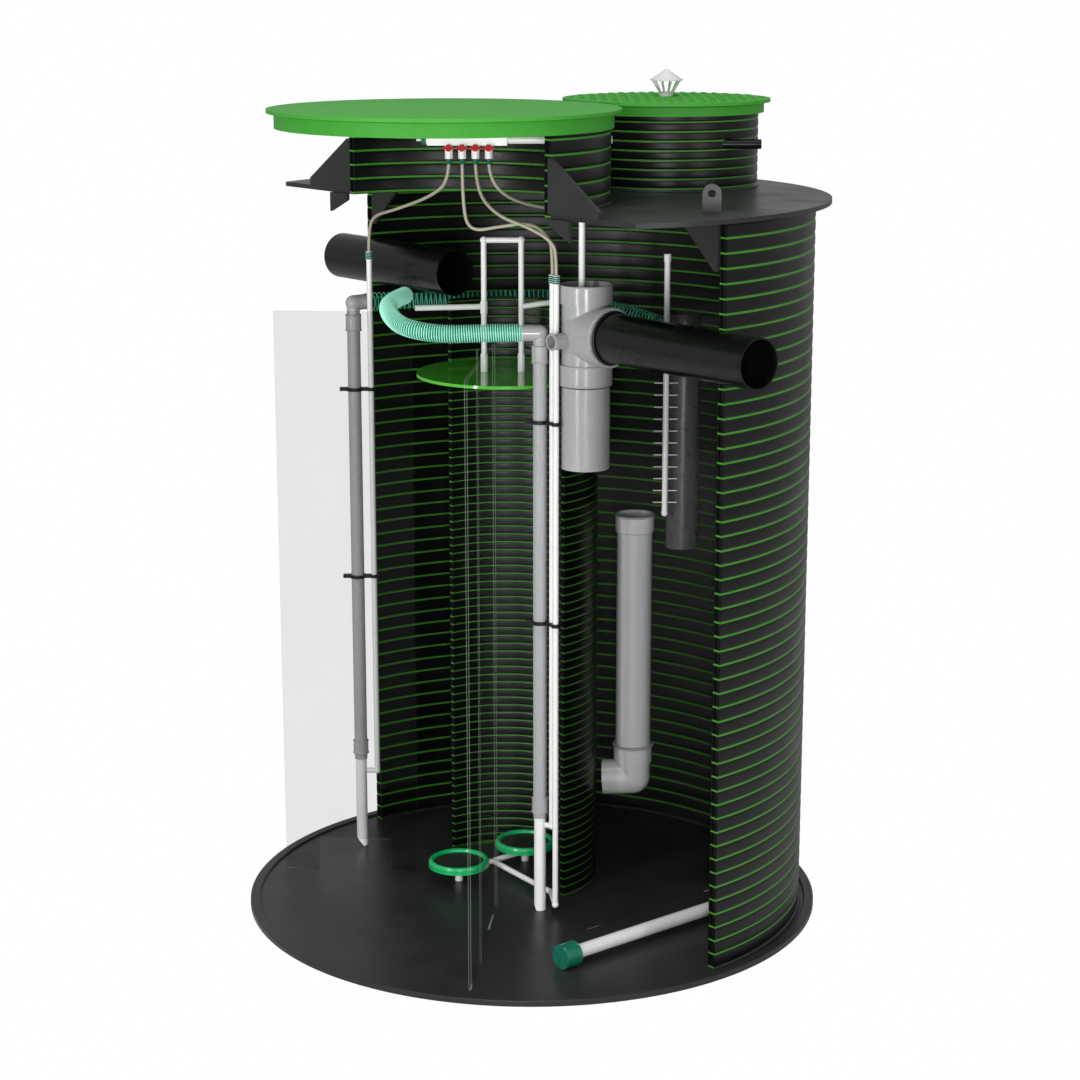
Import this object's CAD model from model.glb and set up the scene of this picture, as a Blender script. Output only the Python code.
# %% [markdown]
# A packaged sewage treatment plant is shown here as a cutaway: a tank of wound
# twin-wall pipe, two access risers with green lids, and the pipework inside.
# The solids come ready from the frame, at their real size and place. This lesson
# gives each of them the finish of the real material and adds what is too fine for
# the solids: the ribs and seams of the winding, the coils of the spiral hoses, the
# tread of the lid, weld beads and rubber rings.

# %% The frame
import bpy
from math import ceil, cos, hypot, pi, radians, sin
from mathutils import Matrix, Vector


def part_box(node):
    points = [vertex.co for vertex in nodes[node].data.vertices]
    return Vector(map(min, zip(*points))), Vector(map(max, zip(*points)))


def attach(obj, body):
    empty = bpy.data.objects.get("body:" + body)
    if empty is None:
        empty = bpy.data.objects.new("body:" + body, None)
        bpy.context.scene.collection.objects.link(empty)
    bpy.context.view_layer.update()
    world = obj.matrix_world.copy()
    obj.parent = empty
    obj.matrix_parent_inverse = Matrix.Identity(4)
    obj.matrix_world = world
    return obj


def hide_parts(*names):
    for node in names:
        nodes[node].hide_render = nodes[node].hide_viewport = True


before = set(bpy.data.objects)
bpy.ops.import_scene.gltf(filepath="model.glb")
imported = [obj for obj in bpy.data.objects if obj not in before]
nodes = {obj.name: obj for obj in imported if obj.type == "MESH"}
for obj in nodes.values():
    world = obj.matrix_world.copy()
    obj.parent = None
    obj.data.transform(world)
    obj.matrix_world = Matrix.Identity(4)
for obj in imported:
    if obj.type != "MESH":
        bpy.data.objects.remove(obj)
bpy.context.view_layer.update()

MM = 0.001
TINY = 1e-6
ROOT = "plant"

# %% [markdown]
# The camera comes first, because every later choice is judged through it. Its
# place was worked out from the circles of the base and the lids: it stands about
# eight metres from the tank, a little above the lids, and looks down by 13 degrees.
# A long lens keeps the upright edges of the tank nearly parallel.

# %% Camera
CAMERA_AT = (0.0281, -8.0298, 3.1677)
CAMERA_DOWN = 13.34
FOCAL_PX = 2435.15
PHOTO_PX = 1080
SENSOR_MM = 36

camera = bpy.data.objects.new("camera", bpy.data.cameras.new("camera"))
camera.location = CAMERA_AT
camera.rotation_euler = (radians(90 - CAMERA_DOWN), 0, 0)
camera.data.sensor_width = SENSOR_MM
camera.data.lens = FOCAL_PX / PHOTO_PX * SENSOR_MM
bpy.context.scene.collection.objects.link(camera)
bpy.context.scene.camera = camera
print("lens", round(camera.data.lens, 1), "mm")

# %% [markdown]
# Two directions rule the whole plant. The tank, the large riser and the inner
# chamber are cut by parallel upright planes; one direction runs along the cut and
# the other points away from it, through both risers. The radii and centres are
# those of the solids, and the heights are read from the frame, so the added pieces
# sit on the solids.

# %% Main directions and sizes
CUT_AZ = -50.6
ALONG = Vector((cos(radians(CUT_AZ)), sin(radians(CUT_AZ)), 0))
BACK = Vector((-ALONG.y, ALONG.x, 0))
TANK_IN, TANK_OUT = 0.900, 0.926
RISER_IN, RISER_OUT = 0.500, 0.526
SMALL_IN, SMALL_OUT = 0.298, 0.311
CHAMBER_IN, CHAMBER_OUT = 0.300, 0.316
TANK_C = Vector((0, 0, 0))
RISER_C = BACK * -0.355
SMALL_C = BACK * 0.592
CHAMBER_C = Vector((-0.092, 0.150, 0))
PLATE_LOW, PLATE_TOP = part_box("top_plate")[0][2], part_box("top_plate")[1][2]
BASE_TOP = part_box("tank_wall_2")[0][2]
RISER_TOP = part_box("small_riser_wall_1")[1][2]
CHAMBER_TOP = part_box("chamber_wall_1")[1][2]
LID_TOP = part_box("large_lid")[1][2]
print("cover from", round(PLATE_LOW, 3), "to", round(PLATE_TOP, 3), "m")


# %% [markdown]
# A material is a small network of nodes. One helper adds a node, sets it and
# links it: an input that is given a socket is linked, and any other value is set on
# the input itself. Colours are written as sRGB hex, as a colour picker shows them,
# and one function turns them to the linear values that the shader works in. The
# other helpers stand for steps that many materials share. The Mix node has a set of
# sockets for each kind of value, so those for colours go by their numbers.

# %% Node and colour helpers
MIX_A, MIX_B, MIX_RESULT = 6, 7, 2
NOISE_LOW, NOISE_HIGH = 0.3, 0.7
GRAIN_DETAIL = 4


def linear(code, alpha=1.0):
    """Linear colour of an sRGB hex code."""
    values = [int(code[i:i + 2], 16) / 255 for i in (1, 3, 5)]
    return [v / 12.92 if v <= 0.04045 else ((v + 0.055) / 1.055) ** 2.4 for v in values] + [alpha]


def add(tree, kind, inputs=(), **settings):
    """Add one node with its settings, input values and links."""
    node = tree.nodes.new(kind)
    for key, value in settings.items():
        setattr(node, key, value)
    for key, value in dict(inputs).items():
        if isinstance(value, bpy.types.NodeSocket):
            tree.links.new(value, node.inputs[key])
        else:
            node.inputs[key].default_value = value
    return node


def maths(tree, operation, *values):
    """Result of one Math node."""
    return add(tree, "ShaderNodeMath", enumerate(values), operation=operation).outputs[0]


def noise_of(tree, place, size_mm, detail):
    """Noise with blotches of a real size."""
    noise = add(tree, "ShaderNodeTexNoise", {"Vector": place, "Scale": 1000 / size_mm, "Detail": detail})
    return noise.outputs["Fac"]


def blend(tree, factor, code_a, code_b):
    """Colour between two colours."""
    mix = add(tree, "ShaderNodeMix", {"Factor": factor, MIX_A: linear(code_a), MIX_B: linear(code_b)},
              data_type="RGBA")
    return mix.outputs[MIX_RESULT]


def new_material(name, code, roughness, ior=1.5, coat=0.0, specular=0.5):
    """Plain Principled material; returns it with its tree, shader and object coordinates."""
    material = bpy.data.materials.new(name)
    material.use_nodes = True
    material.diffuse_color = linear(code)
    tree = material.node_tree
    shader = tree.nodes["Principled BSDF"]
    shader.inputs["Base Color"].default_value = linear(code)
    shader.inputs["Roughness"].default_value = roughness
    shader.inputs["IOR"].default_value = ior
    shader.inputs["Coat Weight"].default_value = coat
    shader.inputs["Specular IOR Level"].default_value = specular
    place = add(tree, "ShaderNodeTexCoord").outputs["Object"]
    return material, tree, shader, place


def vary(tree, shader, place, code_a, code_b, size_mm, rough_a, rough_b, detail=3.0):
    """Let colour and roughness drift a little between two values."""
    noise = noise_of(tree, place, size_mm, detail)
    tree.links.new(blend(tree, noise, code_a, code_b), shader.inputs["Base Color"])
    rough = add(tree, "ShaderNodeMapRange", {
        "Value": noise, "From Min": NOISE_LOW, "From Max": NOISE_HIGH, "To Min": rough_a, "To Max": rough_b})
    tree.links.new(rough.outputs["Result"], shader.inputs["Roughness"])


def grain(tree, shader, place, size_mm, height_mm, stretch=(1, 1, 1)):
    """Fine surface relief from noise of a real size."""
    mapped = add(tree, "ShaderNodeMapping", {"Vector": place, "Scale": stretch})
    noise = noise_of(tree, mapped.outputs["Vector"], size_mm, GRAIN_DETAIL)
    bump = add(tree, "ShaderNodeBump", {"Height": noise, "Distance": height_mm * MM, "Strength": 1.0})
    tree.links.new(bump.outputs["Normal"], shader.inputs["Normal"])


print("helpers ready")


# %% [markdown]
# The tank, risers and chamber are wound from an extruded polyethylene profile. Carbon
# black makes the profile black and keeps sunlight from ageing it. The extruder leaves
# fine draw lines that run along the winding: here they are noise that is stretched
# level and squeezed upright. The skin is smooth and slightly waxy, so it gives broad
# soft reflections (IOR 1.5, roughness about 0.35). The profiles are welded to each
# other with a bright green strip that stays visible as a line on both faces.

# %% Wound polyethylene and its weld strip
DRAW_LINES = (0.35, 0.35, 5.0)

black_pe, tree, shader, place = new_material("wound_black_polyethylene", "#060607", 0.34, specular=0.26)
vary(tree, shader, place, "#060607", "#0c0c0d", 240, 0.29, 0.42)
grain(tree, shader, place, 9, 0.25, DRAW_LINES)

weld_green, tree, shader, place = new_material("green_weld_strip", "#377f1c", 0.5, specular=0.3)
vary(tree, shader, place, "#30711a", "#3c8222", 60, 0.45, 0.55)
grain(tree, shader, place, 7, 0.3)
print("winding:", black_pe.name, weld_green.name)


# %% [markdown]
# Where a saw has cut through a wound wall, each chamber of the profile shows as a
# black hollow, and the green weld between two turns shows as a thin web. The solids
# have the hollows. The web's colour is a function of height: the distance to the
# nearest seam picks green or black.

# %% Sawn edge of a wound wall
SAWN_BLACK, WEB_GREEN = "#0b0b0c", "#3b871e"
PITCH, FINE_PITCH, SMALL_PITCH = 0.046, 0.029, 0.031
WEB, FINE_WEB = 0.005, 0.004


def sawn_wall(name, first_seam, pitch, web):
    """Cut face: black profile with a green web at each seam."""
    material, tree, shader, place = new_material(name, SAWN_BLACK, 0.5, specular=0.2)
    height = add(tree, "ShaderNodeSeparateXYZ", {"Vector": place}).outputs["Z"]
    above = maths(tree, "SUBTRACT", height, first_seam - pitch / 2)
    wrapped = maths(tree, "FLOORED_MODULO", above, pitch)
    away = maths(tree, "ABSOLUTE", maths(tree, "SUBTRACT", wrapped, pitch / 2))
    near = maths(tree, "LESS_THAN", away, web / 2)
    tree.links.new(blend(tree, near, SAWN_BLACK, WEB_GREEN), shader.inputs["Base Color"])
    grain(tree, shader, place, 5, 0.3)
    return material


def lowest_seam(low, high, pitch):
    """Height of the lowest seam: the chambers of the cut faces are centred on the wall."""
    count = int((high - low) / pitch + TINY)
    return low + (high - low - (count - 1) * pitch) / 2 - pitch / 2


tank_seam = lowest_seam(BASE_TOP, PLATE_LOW, PITCH)
riser_seam = lowest_seam(PLATE_LOW, RISER_TOP, PITCH)
chamber_seam = lowest_seam(BASE_TOP, CHAMBER_TOP, FINE_PITCH)
small_seam = lowest_seam(PLATE_TOP, RISER_TOP, SMALL_PITCH)
sawn_tank = sawn_wall("sawn_tank_wall", tank_seam, PITCH, WEB)
sawn_riser = sawn_wall("sawn_riser_wall", riser_seam, PITCH, WEB)
sawn_chamber = sawn_wall("sawn_chamber_wall", chamber_seam, FINE_PITCH, FINE_WEB)
print("lowest seam of the tank at", round(tank_seam * 1000, 1), "mm")

# %% [markdown]
# The base, cover, braces and lugs are cut from thick black polyethylene sheet. Pressed
# sheet has a faint orange-peel texture and a dull sheen; foot traffic leaves lighter
# scuffs, which here are a slow drift of colour and roughness. The lids are moulded in
# solid green plastic with a fine grain, and the cover of the inner chamber is a glossy
# green sheet.

# %% Sheet and lids
dark_sheet, tree, shader, place = new_material("pressed_polyethylene_sheet", "#232324", 0.36, specular=0.3)
vary(tree, shader, place, "#202021", "#2b2b2c", 170, 0.28, 0.42, 5.0)
grain(tree, shader, place, 4, 0.12)

lid_green, tree, shader, place = new_material("moulded_green_plastic", "#36912a", 0.5, specular=0.2)
vary(tree, shader, place, "#348c27", "#3f9a31", 14, 0.45, 0.58, 6.0)
grain(tree, shader, place, 9, 0.5)

cover_green, tree, shader, place = new_material("glossy_green_sheet", "#3f9528", 0.14, coat=0.3)
vary(tree, shader, place, "#48a62c", "#55b636", 200, 0.1, 0.2)
print("sheet:", dark_sheet.name, lid_green.name, cover_green.name)

# %% [markdown]
# The pipes are extruded. Grey sewer pipe and white pressure pipe are rigid vinyl with
# an even satin skin; a pale speckle comes from the filler. The inlet and outlet are
# glossy black polyethylene. Small fittings are moulded, and most of them are duller
# than the pipes. The wall of a spiral hose is so thin that light gets through.

# %% Pipes and fittings
VINYL_IOR = 1.53
HAZE_MM = 25
HAZE = 0.2


def pipe_plastic(name, code_a, code_b, rough, size_mm=18, coat=0.0, specular=0.5):
    """Extruded or moulded pipe plastic with a faint speckle."""
    material, tree, shader, place = new_material(name, code_a, rough, VINYL_IOR, coat, specular)
    vary(tree, shader, place, code_a, code_b, size_mm, rough - 0.05, rough + 0.07, 6.0)
    grain(tree, shader, place, 3, 0.06)
    return material


def hose_wall(name, code, solid):
    """Thin hose wall between the ribs, partly see-through."""
    material, tree, shader, place = new_material(name, code, 0.3)
    haze = noise_of(tree, place, HAZE_MM, 3)
    alpha = add(tree, "ShaderNodeMapRange", {
        "Value": haze, "To Min": solid * (1 - HAZE), "To Max": solid * (1 + HAZE)})
    tree.links.new(alpha.outputs["Result"], shader.inputs["Alpha"])
    return material


grey_pvc = pipe_plastic("grey_sewer_pipe", "#969697", "#ababac", 0.2, 9)
light_grey_pvc = pipe_plastic("light_grey_sewer_pipe", "#cacacb", "#dededf", 0.22, 9)
white_pvc = pipe_plastic("white_pressure_pipe", "#e4e4e3", "#eeeeed", 0.3, 60)
vent_white = pipe_plastic("white_vent_plastic", "#b9b9b8", "#d2d2d1", 0.45, 6)
dark_pvc = pipe_plastic("dark_grey_pipe", "#474748", "#565657", 0.3)
black_pipe = pipe_plastic("black_pipe", "#080809", "#0f0f10", 0.24, 90, specular=0.3)
red_plastic = pipe_plastic("red_moulded_plastic", "#a50f14", "#b5161a", 0.5, 30, specular=0.15)
black_clip = pipe_plastic("black_moulded_clip", "#0c0c0d", "#151516", 0.4, specular=0.25)
teal_plastic = pipe_plastic("dark_green_cap", "#0b5a49", "#0f6a56", 0.28, 30, coat=0.2)
emerald = pipe_plastic("emerald_ring", "#0aa15a", "#10b067", 0.3, 40, coat=0.2)
cream_hose = pipe_plastic("cream_air_hose", "#9d9785", "#aea896", 0.4, 30)
mint_rib = pipe_plastic("mint_hose_rib", "#a4ffe2", "#bcffec", 0.35, 30)
teal_rib = pipe_plastic("teal_hose_rib", "#4fcfa8", "#6fe6c2", 0.35, 30)
rubber = pipe_plastic("black_rubber_ring", "#0b0b0b", "#141414", 0.6)
mint_core = hose_wall("mint_hose_wall", "#37a384", 0.42)
dark_core = hose_wall("thin_hose_wall", "#1c6a55", 0.12)
membrane, tree, shader, place = new_material("rubber_membrane", "#1a1c1b", 0.55)
grain(tree, shader, place, 3, 0.3)
print("pipes:", grey_pvc.name, white_pvc.name, black_pipe.name)


# %% [markdown]
# The partitions are clear sheet. On the photo they nearly vanish against the dark
# walls, and in front of white they give a pale grey tint. Only the borders of their
# sawn edges catch the light, as hairlines. So a face is a faint grey filter with a
# little gloss, and an edge is bright only within a millimetre of its borders. The
# shader knows an edge by its direction and a border by the distance from the middle
# of the sheet.

# %% Clear sheet
SHEET_THICK = 0.008
BORDER = 0.0009
DUST_PER_M = 6.0
CLEAREST, DUSTIEST = 1.0, 0.97
SHEET_GLOSS = 0.003
EDGE_COVER = 0.5
SHEETS = {
    "left_partition": (175.7, "#f4f4f4"), "right_partition": (-5.6, "#fefefe"),
    "front_partition": (84.4, "#fefefe"), "cross_partition": (39.4, "#fefefe"),
}


def dot(tree, vector, direction):
    """Share of a vector in a direction."""
    product = add(tree, "ShaderNodeVectorMath", {0: vector, 1: direction}, operation="DOT_PRODUCT")
    return product.outputs["Value"]


def clear_sheet(name, node_name, azimuth, tint_code):
    """Clear plastic whose sawn edges are bright along their borders."""
    low, high = (Vector(corner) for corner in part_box(node_name))
    across = Vector((-sin(radians(azimuth)), cos(radians(azimuth)), 0))
    material = bpy.data.materials.new(name)
    material.use_nodes = True
    material.diffuse_color = linear("#e6eae9", 0.2)
    tree = material.node_tree
    tree.nodes.clear()

    normal = add(tree, "ShaderNodeNewGeometry").outputs["Normal"]
    is_edge = maths(tree, "LESS_THAN", maths(tree, "ABSOLUTE", dot(tree, normal, across)), 0.5)
    place = add(tree, "ShaderNodeTexCoord").outputs["Object"]
    middle = (low + high) / 2
    offset = add(tree, "ShaderNodeVectorMath", {0: place, 1: middle}, operation="SUBTRACT").outputs[0]
    away = maths(tree, "ABSOLUTE", dot(tree, offset, across))
    at_border = maths(tree, "GREATER_THAN", away, SHEET_THICK / 2 - BORDER)
    hairline = maths(tree, "MULTIPLY", is_edge, at_border)

    dust = add(tree, "ShaderNodeTexNoise", {"Vector": place, "Scale": DUST_PER_M, "Detail": 3}).outputs["Fac"]
    shade = add(tree, "ShaderNodeMapRange", {"Value": dust, "To Min": DUSTIEST, "To Max": CLEAREST})
    tint = add(tree, "ShaderNodeVectorMath", {0: linear(tint_code)[:3]}, operation="SCALE")
    tree.links.new(shade.outputs["Result"], tint.inputs["Scale"])
    filter_face = add(tree, "ShaderNodeBsdfTransparent", {"Color": tint.outputs[0]})
    gloss = add(tree, "ShaderNodeBsdfGlossy", {"Color": linear("#ffffff"), "Roughness": 0.06})
    face = add(tree, "ShaderNodeMixShader", {0: SHEET_GLOSS, 1: filter_face.outputs[0], 2: gloss.outputs[0]})
    sawn = add(tree, "ShaderNodeBsdfDiffuse", {"Color": linear("#a9aeab")})
    cover = maths(tree, "MULTIPLY", hairline, EDGE_COVER)
    whole = add(tree, "ShaderNodeMixShader", {0: cover, 1: face.outputs[0], 2: sawn.outputs[0]})
    add(tree, "ShaderNodeOutputMaterial", {"Surface": whole.outputs[0]})
    return material


sheets = {name: clear_sheet(f"clear_{name}", name, *values) for name, values in SHEETS.items()}
print("clear sheets:", len(sheets))

# %% [markdown]
# Every solid that stays gets its finish by name. A table of name beginnings is enough,
# because the pieces are named for what they are. The longest beginning that fits
# counts, and a solid that no beginning fits is white pressure pipe.

# %% Finishes of the solids
FINISH = {
    "tank_wall": sawn_tank, "large_riser": sawn_riser, "small_riser": black_pe, "chamber_wall": sawn_chamber,
    "base_plate": dark_sheet, "top_plate": dark_sheet, "gussets": dark_sheet, "lifting_eyes": dark_sheet,
    "large_lid": lid_green, "small_lid": lid_green, "chamber_cover": cover_green, "vent_cap": vent_white,
    "inlet_pipe": black_pipe, "outlet_pipe": black_pipe, "cable_duct": black_pipe, "outlet_tee": grey_pvc,
    "drop_pipe": grey_pvc, "left_airlift": grey_pvc, "mid_airlift": grey_pvc, "elbow_pipe": light_grey_pvc,
    "floor_pipe": light_grey_pvc, "floor_pipe_cap": teal_plastic, "dark_drop_pipe": dark_pvc,
    "diffusers": emerald, "valve_knob": red_plastic, "airlift_brackets": black_clip, "air_hose": cream_hose,
    "left_spiral_hose": dark_core, "mid_spiral_hose": mint_core,
}
for name, node in nodes.items():
    starts = [key for key in FINISH if name.startswith(key)]
    finish = sheets.get(name) or (FINISH[max(starts, key=len)] if starts else white_pvc)
    node.data.materials.clear()
    node.data.materials.append(finish)
print("finished", len(nodes), "solids")


# %% [markdown]
# New pieces are plain meshes: a list of points, a list of faces and, where one piece
# has two materials, a material number for each face. Smooth shading with a limit on
# the angle keeps real edges crisp.

# %% Mesh helper
SHARP_DEG = 40


def piece(name, points, faces, materials, numbers=None, smooth=True):
    """Make a mesh object that rides on the plant and has a slot of the record."""
    mesh = bpy.data.meshes.new(name)
    mesh.from_pydata([tuple(p) for p in points], [], faces)
    for material in materials:
        mesh.materials.append(material)
    if numbers:
        mesh.polygons.foreach_set("material_index", numbers)
    if smooth:
        mesh.shade_smooth()
        mesh.set_sharp_from_angle(angle=radians(SHARP_DEG))
    mesh.update()
    obj = bpy.data.objects.new(name, mesh)
    bpy.context.scene.collection.objects.link(obj)
    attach(obj, ROOT)


# %% [markdown]
# The skin of a wound wall repeats up the wall: a narrow, slightly sunken green weld,
# then a black band that swells by a few millimetres. A revolved grid makes it: rows of
# points follow that outline, columns follow the azimuth. The turns of a real winding
# climb by one pitch in each round. The sawn chambers of the solids are level, so the
# turns of the skin are level too.

# %% Wound skins
BLACK, GREEN = 0, 1
SKIN_LIFT = 0.0004
WELD_OUT = 0.2
# place in the band from weld to weld, share of its swell
BAND = (
    (0.0, WELD_OUT), (0.04, 0.62), (0.14, 0.9), (0.32, 1.0),
    (0.5, 1.05), (0.68, 1.0), (0.86, 0.9), (0.96, 0.62),
)
COLUMN_DEG = 2


def wound_skin(name, radius, low, outward, high, first_seam, pitch, centre,
               start=CUT_AZ, sweep=180, weld=0.0068, swell=0.0026):
    """Skin of welded turns on one side of a round wall."""
    rows = []
    for k in range(-1, ceil((high - first_seam) / pitch) + 1):
        seam = first_seam + k * pitch
        rows.append((seam - weld / 2, WELD_OUT, GREEN))
        for t, out in BAND:
            rows.append((seam + weld / 2 + t * (pitch - weld), out, BLACK))
    rows = [(min(max(z, low), high), out, number) for z, out, number in rows]
    kept = [row for i, row in enumerate(rows) if i == 0 or row[0] > rows[i - 1][0] + TINY]
    steps = sweep // COLUMN_DEG
    side = 1 if outward else -1
    points = []
    for z, out, number in kept:
        r = radius + side * (SKIN_LIFT + swell * out)
        for i in range(steps + 1):
            az = radians(start + sweep * i / steps)
            points.append((centre.x + r * cos(az), centre.y + r * sin(az), z))
    faces = []
    numbers = []
    wide = steps + 1
    for j in range(len(kept) - 1):
        for i in range(steps):
            quad = (j * wide + i, j * wide + i + 1, (j + 1) * wide + i + 1, (j + 1) * wide + i)
            faces.append(quad if outward else quad[::-1])
            numbers.append(kept[j][2])
    piece(name, points, faces, [black_pe, weld_green], numbers)


WINDINGS = {
    "tank_skin": {"high": PLATE_LOW, "first_seam": tank_seam, "pitch": PITCH, "centre": TANK_C},
    "riser_skin": {"high": RISER_TOP, "first_seam": riser_seam, "pitch": PITCH, "centre": RISER_C},
    "small_riser": {"high": RISER_TOP, "first_seam": small_seam, "pitch": SMALL_PITCH,
                    "centre": SMALL_C, "start": 0, "sweep": 360, "weld": 0.005},
    "chamber_skin": {"high": CHAMBER_TOP, "first_seam": chamber_seam, "pitch": FINE_PITCH,
                     "centre": CHAMBER_C, "weld": 0.004, "swell": 0.0018},
}
SKINS = (
    ("tank_skin", "outside", TANK_OUT, BASE_TOP), ("tank_skin", "inside", TANK_IN, BASE_TOP),
    ("riser_skin", "outside", RISER_OUT, PLATE_TOP), ("riser_skin", "inside", RISER_IN, PLATE_LOW),
    ("small_riser", "outside", SMALL_OUT, PLATE_TOP), ("small_riser", "inside", SMALL_IN, PLATE_TOP),
    ("chamber_skin", "outside", CHAMBER_OUT, BASE_TOP), ("chamber_skin", "inside", CHAMBER_IN, BASE_TOP),
)
for wall, face, radius, low in SKINS:
    wound_skin(f"{wall}_{face}", radius, low, face == "outside", **WINDINGS[wall])
print("wound skins done")


# %% [markdown]
# Extrusion welders leave a half-round bead of black plastic in each corner between a
# wall and a sheet. A bead is a ring of small section; the hand's rhythm shows as
# slight ripples along it. The same ring makes the rims of pipe sockets and the rubber
# seals, which have no ripples.

# %% Ring helper, weld beads and pipe rings
LEAST_STEPS = 24
STEPS_PER_SIZE = 0.35
RIPPLES = 700
WELD_RIPPLE = 0.12


def ring(name, centre, radius, z, section, material,
         start=0.0, sweep=360.0, ripple=0.0, axis=None, sides=8):
    """Ring or arc of round section about an upright axis, or about a given axis."""
    steps = max(LEAST_STEPS, int(radius * sweep * STEPS_PER_SIZE))
    closed = sweep >= 360
    count = steps if closed else steps + 1
    z_dir = Vector(axis).normalized() if axis else Vector((0, 0, 1))
    x_dir = z_dir.orthogonal().normalized() if axis else Vector((1, 0, 0))
    y_dir = z_dir.cross(x_dir)
    origin = Vector((centre[0], centre[1], z))
    points = []
    for i in range(count):
        az = radians(start + sweep * i / steps)
        out = x_dir * cos(az) + y_dir * sin(az)
        size = section * (1 + ripple * sin(az * radius * RIPPLES))
        for k in range(sides):
            turn = 2 * pi * k / sides
            points.append(origin + out * (radius + size * cos(turn)) + z_dir * size * sin(turn))
    faces = []
    for i in range(steps):
        j = (i + 1) % count
        for k in range(sides):
            m = (k + 1) % sides
            faces.append((i * sides + k, j * sides + k, j * sides + m, i * sides + m))
    if not closed:
        faces.append(tuple(range(sides))[::-1])
        faces.append(tuple((count - 1) * sides + k for k in range(sides)))
    piece(name, points, faces, [material])


# centre, radius, height, section, azimuth where it starts, sweep
WELDS = {
    "tank_foot_weld": (TANK_C, TANK_OUT + 0.003, BASE_TOP + 0.003, 0.006, CUT_AZ, 180),
    "tank_inner_weld": (TANK_C, TANK_IN - 0.003, BASE_TOP + 0.003, 0.006, CUT_AZ, 180),
    "cover_weld": (TANK_C, TANK_OUT + 0.003, PLATE_LOW - 0.002, 0.006, CUT_AZ, 180),
    "riser_weld": (RISER_C, RISER_OUT + 0.003, PLATE_TOP + 0.002, 0.005, CUT_AZ, 180),
    "small_riser_weld": (SMALL_C, SMALL_OUT + 0.003, PLATE_TOP + 0.002, 0.005, 0, 360),
    "chamber_weld": (CHAMBER_C, CHAMBER_OUT + 0.002, BASE_TOP + 0.002, 0.005, CUT_AZ, 180),
}
for name, (centre, radius, z, section, start, sweep) in WELDS.items():
    ring(name, centre, radius, z, section, dark_sheet, start, sweep, WELD_RIPPLE)

TEE_C = ALONG * 0.278
OUTLET_Z, BRANCH_Z = 2.0, 1.986
TEE_BEADS = {
    "rim": (0.0862, 2.158), "neck": (0.0842, 2.104),
    "low_socket": (0.0862, 1.899), "low_rim": (0.0862, 1.838),
}
for name, (radius, z) in TEE_BEADS.items():
    ring(f"tee_{name}_bead", TEE_C, radius, z, 0.0032, grey_pvc)
ring("tee_foot_seal", TEE_C, 0.0815, 1.8335, 0.004, rubber)
ring("outlet_seal", ALONG * 0.409, 0.0845, OUTLET_Z, 0.0045, rubber, axis=ALONG)
ring("outlet_bead", ALONG * 0.400, 0.0945, OUTLET_Z, 0.0042, grey_pvc, axis=ALONG)
ring("side_branch_bead", TEE_C - BACK * 0.143, 0.0258, BRANCH_Z, 0.0026, grey_pvc, axis=BACK)

ELBOW_C = (0.355, 0.150)
ELBOW_BEADS = {
    "mouth": (0.0665, 1.318, 0.0042), "neck": (0.0640, 1.262, 0.0030), "socket": (0.0680, 0.4905, 0.0050),
}
for name, (radius, z, section) in ELBOW_BEADS.items():
    ring(f"elbow_{name}_bead", ELBOW_C, radius, z, section, grey_pvc, sides=10)

LIFTS = {"left_lift": ((-0.624, 0.430), 1.970), "mid_lift": ((0.028, -0.200), 1.958)}
LIFT_NECK_DOWN = 0.053
for lift, (centre, top) in LIFTS.items():
    lift_beads = {"top": (0.0268, top, 0.0022), "neck": (0.0268, top - LIFT_NECK_DOWN, 0.0028),
                  "foot": (0.0268, 0.367, 0.0026), "low": (0.0262, 0.413, 0.0024)}
    for name, (radius, z, section) in lift_beads.items():
        ring(f"{lift}_{name}_bead", centre, radius, z, section, grey_pvc, sides=10)

FLOOR_PIPE_R = 0.0225
CAP_ALONG = 0.610
CAP_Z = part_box("floor_pipe")[0][2] + FLOOR_PIPE_R
for number, back in enumerate((-0.3775, -0.3205), 1):
    ring(f"floor_cap_bead_{number}", ALONG * CAP_ALONG + BACK * back, 0.0385, CAP_Z, 0.0028,
         teal_plastic, axis=BACK)
print("weld beads and rings done")

# %% [markdown]
# The small lid is moulded with an anti-slip tread: short raised bars in a basket
# pattern. Each bar is a low lozenge with sloping sides, and alternate bars are turned
# by ninety degrees. The tread leaves out the lid's border and the foot of the vent
# cap, and follows the lid where it falls to its edge. All the bars are one mesh.

# %% Tread of the small lid
TREAD_STEP = 0.036
TREAD_LONG, TREAD_WIDE, TREAD_HIGH, TREAD_SUNK = 0.013, 0.0042, 0.0022, 0.0015
TREAD_TAPER = 0.62
SMALL_LID_R = 0.353
PLAIN_BORDER, PLAIN_MIDDLE = 0.022, 0.045
LID_FALL, LEVEL_SHARE = 0.004, 0.55


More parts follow.
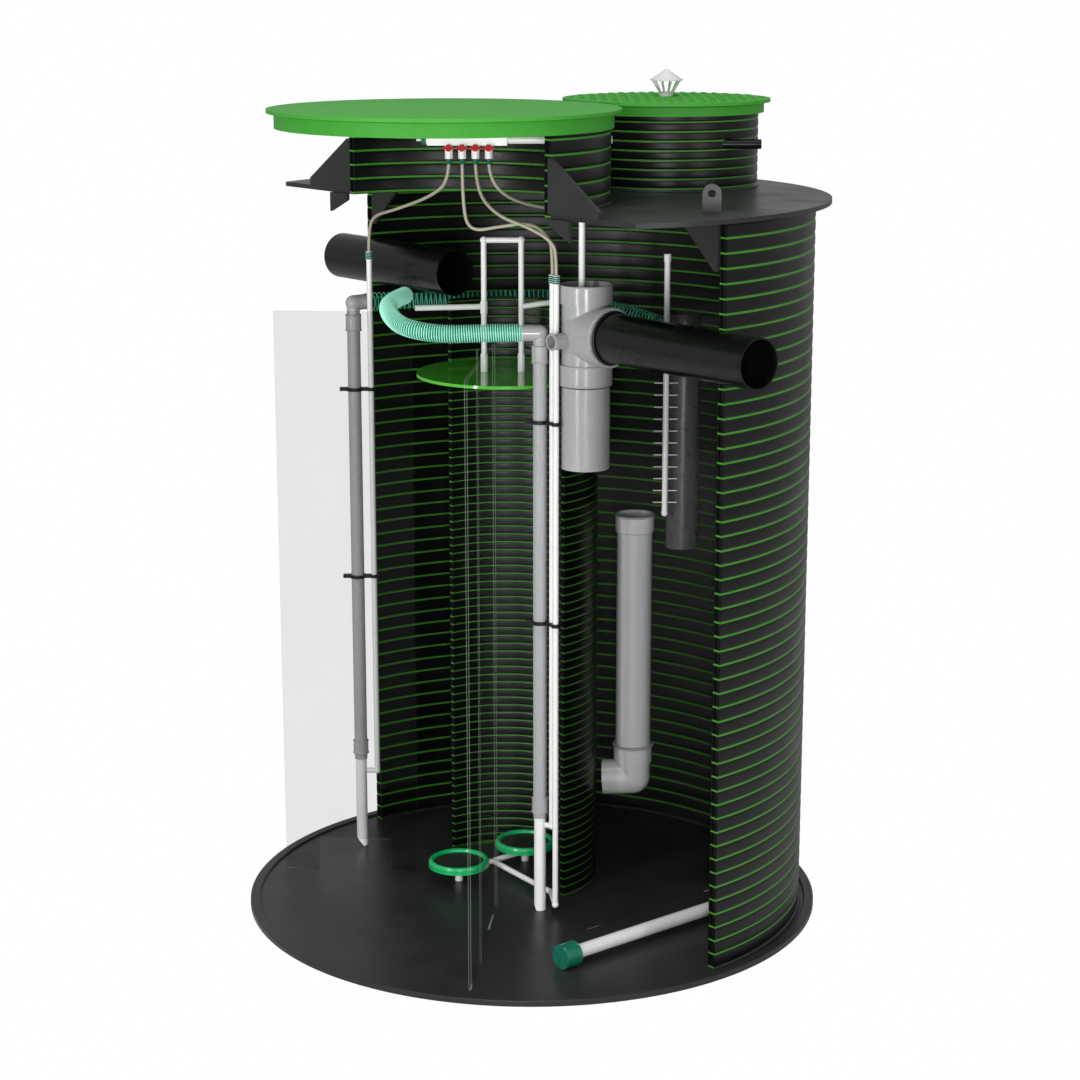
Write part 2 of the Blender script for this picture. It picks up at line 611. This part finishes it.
def tread(name, centre, radius, base_z):
    """Raised bars over a round lid."""
    points = []
    faces = []
    reach = int(radius / TREAD_STEP)
    for i in range(-reach, reach + 1):
        for j in range(-reach, reach + 1):
            x, y = i * TREAD_STEP, j * TREAD_STEP
            if hypot(x, y) > radius - PLAIN_BORDER or hypot(x, y) < PLAIN_MIDDLE:
                continue
            past_level = max(0.0, hypot(x, y) - LEVEL_SHARE * radius)
            z = base_z - LID_FALL * past_level / ((1 - LEVEL_SHARE) * radius)
            turn = radians(45 if (i + j) % 2 else -45)
            first = len(points)
            for scale, lift in ((1.0, -TREAD_SUNK), (TREAD_TAPER, TREAD_HIGH)):
                for px, py in ((-1, -1), (1, -1), (1, 1), (-1, 1)):
                    lx, ly = px * TREAD_LONG * scale, py * TREAD_WIDE * scale
                    points.append((centre.x + x + lx * cos(turn) - ly * sin(turn),
                                   centre.y + y + lx * sin(turn) + ly * cos(turn), z + lift))
            faces.append((first + 4, first + 5, first + 6, first + 7))
            for k in range(4):
                m = (k + 1) % 4
                faces.append((first + k, first + m, first + 4 + m, first + 4 + k))
    piece(name, points, faces, [lid_green], smooth=False)


tread("small_lid_tread", SMALL_C, SMALL_LID_R, LID_TOP)
print("tread done")


# %% [markdown]
# A disc diffuser is a rubber membrane held in a green ring. Air leaves through fine
# slits that run in circles, so the membrane has a faint ringed relief, and its middle
# is slightly raised when it is at rest.

# %% Diffuser membranes
DISC_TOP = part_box("diffusers")[1][2]
DISC_XY = (Vector((-0.258, 0.071, 0)), Vector((-0.026, 0.267, 0)))
DISC_RING_R, DISC_RING_SECTION = 0.097, 0.0095
MEMBRANE_R = 0.0885
MEMBRANE_DOWN, MEMBRANE_DOME, MEMBRANE_RIB = 0.0035, 0.004, 0.0005
MEMBRANE_RINGS, MEMBRANE_STEPS = 26, 64


def membrane_disc(name, centre):
    """Slightly domed round membrane with ringed relief."""
    steps = MEMBRANE_STEPS
    edge_z = DISC_TOP - MEMBRANE_DOWN
    points = [(centre.x, centre.y, edge_z + MEMBRANE_DOME)]
    for i in range(1, MEMBRANE_RINGS + 1):
        share = i / MEMBRANE_RINGS
        r = MEMBRANE_R * share
        z = edge_z + MEMBRANE_DOME * (1 - share ** 2) + (MEMBRANE_RIB if i % 2 else 0.0)
        for k in range(steps):
            az = 2 * pi * k / steps
            points.append((centre.x + r * cos(az), centre.y + r * sin(az), z))
    faces = [(0, 1 + k, 1 + (k + 1) % steps) for k in range(steps)]
    for i in range(MEMBRANE_RINGS - 1):
        for k in range(steps):
            m = (k + 1) % steps
            a, b = 1 + i * steps, 1 + (i + 1) * steps
            faces.append((a + k, b + k, b + m, a + m))
    piece(name, points, faces, [membrane])


for number, centre in enumerate(DISC_XY, 1):
    membrane_disc(f"diffuser_membrane_{number}", centre)
    ring(f"diffuser_ring_{number}", centre, DISC_RING_R, DISC_TOP, DISC_RING_SECTION, emerald)
print("diffusers done")

# %% [markdown]
# Three air hoses hang between the valves and the collars of the air lines, and the
# fourth runs back to the underside of the cover. A hose is a curve: a NURBS spline
# whose control points are the corners of its route, given a round section. Each is
# declared as a cord with its real length and thickness. The length is measured on the
# smooth line, which is read from a copy of the curve that has no section.

# %% Air hoses
VALVE_X = (-0.266, -0.223, -0.180, -0.137)
VALVE_Y, VALVE_LOW = -0.100, 2.5517
COLLARS = ((-0.566, 0.430), (0.068, -0.222), (0.080, -0.246))
COLLAR_TOP = 2.1923
UNDER_COVER = PLATE_LOW - 0.0003
HOSE_D = 0.011
AIR_HOSES = {
    "air_hose_1": [
        (VALVE_X[0], VALVE_Y, VALVE_LOW), (VALVE_X[0], VALVE_Y, 2.480), (-0.330, 0.010, 2.420),
        (-0.470, 0.240, 2.352), (-0.545, 0.395, 2.320), (*COLLARS[0], 2.265), (*COLLARS[0], COLLAR_TOP)],
    "air_hose_2": [
        (VALVE_X[1], VALVE_Y, VALVE_LOW), (VALVE_X[1], VALVE_Y, 2.400), (-0.200, -0.115, 2.318),
        (-0.100, -0.140, 2.338), (0, -0.170, 2.354), (0.060, -0.214, 2.310), (*COLLARS[1], 2.250),
        (*COLLARS[1], COLLAR_TOP)],
    "air_hose_3": [
        (VALVE_X[2], VALVE_Y, VALVE_LOW), (VALVE_X[2], VALVE_Y, 2.450), (-0.110, -0.185, 2.376),
        (-0.010, -0.232, 2.346), (0.070, -0.247, 2.300), (*COLLARS[2], 2.250), (*COLLARS[2], COLLAR_TOP)],
    "air_hose_4": [
        (VALVE_X[3], VALVE_Y, VALVE_LOW), (VALVE_X[3], VALVE_Y, 2.490), (-0.076, -0.060, 2.418),
        (0.048, 0.040, 2.378), (0.215, 0.140, 2.350), (0.215, 0.140, UNDER_COVER)],
}
ROUTE_STEPS = 12


def curve_object(name, kind, points, radius, material, roundness):
    """Curve with a round section: POLY runs through its points, NURBS is smooth near them."""
    curve = bpy.data.curves.new(name, "CURVE")
    curve.dimensions = "3D"
    spline = curve.splines.new(kind)
    spline.points.add(len(points) - 1)
    for point, place in zip(spline.points, points):
        point.co = (*place, 1)
    curve.bevel_depth = radius
    curve.bevel_resolution = roundness
    if material:
        curve.materials.append(material)
    obj = bpy.data.objects.new(name, curve)
    bpy.context.scene.collection.objects.link(obj)
    return obj


def route(name, points, radius=0.0, material=None, capped=False):
    """Smooth curve along a hose's route."""
    obj = curve_object(name, "NURBS", points, radius, material, roundness=3)
    spline = obj.data.splines[0]
    spline.order_u = 3
    spline.use_endpoint_u = True
    obj.data.resolution_u = ROUTE_STEPS
    obj.data.use_fill_caps = capped
    return obj


def centre_line(name, points):
    """Points along the smooth line of a route, read from a curve with no section."""
    line = route(name, points)
    mesh = bpy.data.meshes.new_from_object(line)
    found = [v.co.copy() for v in mesh.vertices]
    bpy.data.objects.remove(line)
    return found


def line_length(line):
    """Length along a line of points."""
    return sum((b - a).length for a, b in zip(line, line[1:]))


for name, points in AIR_HOSES.items():
    length = round(line_length(centre_line(f"{name}_line", points)), 3)
    hose = route(f"{name}_tube", points, HOSE_D / 2, cream_hose, capped=True)
    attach(hose, ROOT)
    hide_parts(name)
    print(name, length, "m")

# %% [markdown]
# The return lines of the air lifts are spiral hoses: a thin wall with a stiff mint
# coil around it. The coil stands proud, so the hose looks ribbed, and where it is
# stretched the dark inside shows between the turns. The coil is a helix worked out
# around the smooth centre line of the hose.

# %% Spiral hoses
SPIRAL_R, RIB_R = 0.030, 0.0014
WALL_R = SPIRAL_R - 2 * RIB_R
POINTS_PER_TURN = 18
# pitch of the coil, materials of the wall and the coil, far end, route
SPIRAL_HOSES = {
    "left_spiral_hose": (0.0165, dark_core, teal_rib, "object", [
        (-0.5818, 0.4672, 2.012), (-0.536, 0.5074, 2.012), (-0.250, 0.512, 2.006), (0.063, 0.515, 2.026),
        (0.270, 0.425, 1.998), (0.400, 0.250, 1.976), (0.4675, 0.1750, 1.9654)]),
    "mid_spiral_hose": (0.0078, mint_core, mint_rib, "bare", [
        (-0.0283, -0.200, 2.000), (-0.110, -0.200, 2.000), (-0.300, -0.205, 1.996), (-0.420, -0.165, 2.012),
        (-0.475, -0.035, 2.042), (-0.480, 0.110, 2.060), (-0.430, 0.225, 2.066)]),
}


def helix(points, radius, pitch):
    """Helix of a given radius and pitch around a line of points."""
    lengths = [0.0]
    for a, b in zip(points, points[1:]):
        lengths.append(lengths[-1] + (b - a).length)
    total = lengths[-1]
    count = int(total / pitch * POINTS_PER_TURN)
    side = (points[1] - points[0]).orthogonal().normalized()
    found = []
    k = 0
    for i in range(count + 1):
        s = total * i / count
        while k < len(points) - 2 and lengths[k + 1] < s:
            k += 1
        a, b = points[k], points[k + 1]
        share = (s - lengths[k]) / max(lengths[k + 1] - lengths[k], TINY)
        way = (b - a).normalized()
        side = (side - way * side.dot(way)).normalized()
        turn = 2 * pi * i / POINTS_PER_TURN
        out = side * cos(turn) + way.cross(side) * sin(turn)
        found.append(a.lerp(b, share) + out * radius)
    return found, total


for name, (pitch, wall_material, rib_material, far_end, points) in SPIRAL_HOSES.items():
    turns, total = helix(centre_line(f"{name}_line", points), SPIRAL_R - RIB_R, pitch)
    coil = curve_object(f"{name}_coil", "POLY", turns, RIB_R, rib_material, roundness=1)
    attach(coil, ROOT)
    core = route(f"{name}_wall", points, WALL_R, wall_material)
    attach(core, ROOT)
    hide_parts(name)
    print(name, round(total, 3), "m,", int(total / pitch), "turns")


# %% [markdown]
# Collars hold the air hoses on their lines, and small nipples join them to the valves.
# They are moulded in dark green. Each is a short ring around the pipe, made of a few
# rounded ribs that give the fingers a grip. The cap on the manifold's end has two such
# ribs.

# %% Hose collars
COLLAR = {"radius": 0.0095, "low": 2.168, "step": 0.0065, "section": 0.0038, "count": 4}
NIPPLE = {"radius": 0.0062, "low": 2.537, "step": 0.0055, "section": 0.0036, "count": 3}
MANIFOLD_Z = RISER_TOP - 0.088
CAP_RIBS_X = (-0.350, -0.343)


def ribs(name, x, y, radius, low, step, section, count):
    """Rounded ribs one above the other around an upright pipe."""
    for k in range(count):
        ring(f"{name}_{k + 1}", (x, y), radius, low + step * k, section, teal_plastic)


for number, (x, y) in enumerate(COLLARS, 1):
    ribs(f"hose_collar_{number}", x, y, **COLLAR)
for number, x in enumerate(VALVE_X, 1):
    ribs(f"valve_nipple_{number}", x, VALVE_Y, **NIPPLE)
for number, x in enumerate(CAP_RIBS_X, 1):
    ring(f"manifold_end_cap_{number}", (x, VALVE_Y), 0.0112, MANIFOLD_Z, 0.0046, teal_plastic,
         axis=Vector((1, 0, 0)))
print("collars done")


# %% [markdown]
# The photo has an even white ground, so the floor and the surroundings are white to
# the camera and pale grey to everything else. The light comes from a tall strip on the
# left, a soft panel in front, a weaker strip on the right, a panel overhead and the
# surroundings. The tall strips give the long upright highlights of satin pipes.

# %% Floor and light
FLOOR_HALF = 30
SKY_LIGHT = 0.46
# place, aim, width, height, power in watts
LIGHTS = {
    "key_strip": ((-4.4, -5.6, 2.6), (0, 0, 1.4), 0.4, 4.5, 215),
    "front_soft": ((0.2, -7.8, 1.9), (0.3, 0, 1.0), 1.0, 2.0, 205),
    "right_strip": ((4.6, -4.6, 2.5), (0.3, 0, 1.3), 0.5, 4.0, 80),
    "top_light": ((-0.5, -2.0, 7.0), (0, 0, 1.5), 2.0, 2.0, 160),
}


def stage_material():
    """White for the camera, pale grey for light that bounces."""
    material = bpy.data.materials.new("white_ground")
    material.use_nodes = True
    tree = material.node_tree
    tree.nodes.clear()
    seen = add(tree, "ShaderNodeLightPath").outputs["Is Camera Ray"]
    pale = add(tree, "ShaderNodeBsdfDiffuse", {"Color": linear("#d8d8d8")})
    white = add(tree, "ShaderNodeEmission", {"Color": (1, 1, 1, 1), "Strength": 1.0})
    mix = add(tree, "ShaderNodeMixShader", {0: seen, 1: pale.outputs[0], 2: white.outputs[0]})
    add(tree, "ShaderNodeOutputMaterial", {"Surface": mix.outputs[0]})
    return material


def soft_light(name, place, aim, wide, high, power):
    """Large rectangular light that looks at a point."""
    light = bpy.data.lights.new(name, "AREA")
    light.shape = "RECTANGLE"
    light.size = wide
    light.size_y = high
    light.energy = power
    obj = bpy.data.objects.new(name, light)
    obj.location = place
    obj.rotation_euler = (Vector(aim) - Vector(place)).to_track_quat("-Z", "Y").to_euler()
    bpy.context.scene.collection.objects.link(obj)


floor_mesh = bpy.data.meshes.new("floor")
corners = [(x * FLOOR_HALF, y * FLOOR_HALF, 0) for x, y in ((-1, -1), (1, -1), (1, 1), (-1, 1))]
floor_mesh.from_pydata(corners, [], [(0, 1, 2, 3)])
floor_mesh.materials.append(stage_material())
floor = bpy.data.objects.new("floor", floor_mesh)
bpy.context.scene.collection.objects.link(floor)

world = bpy.context.scene.world or bpy.data.worlds.new("world")
bpy.context.scene.world = world
world.use_nodes = True
world.node_tree.nodes.clear()
camera_ray = add(world.node_tree, "ShaderNodeLightPath").outputs["Is Camera Ray"]
strength = add(world.node_tree, "ShaderNodeMapRange", {
    "Value": camera_ray, "To Min": SKY_LIGHT, "To Max": 1.0})
sky = add(world.node_tree, "ShaderNodeBackground", {
    "Color": (1, 1, 1, 1), "Strength": strength.outputs["Result"]})
add(world.node_tree, "ShaderNodeOutputWorld", {"Surface": sky.outputs[0]})

for name, values in LIGHTS.items():
    soft_light(name, *values)
bpy.context.scene.view_settings.view_transform = "Standard"
print("stage and lights done")
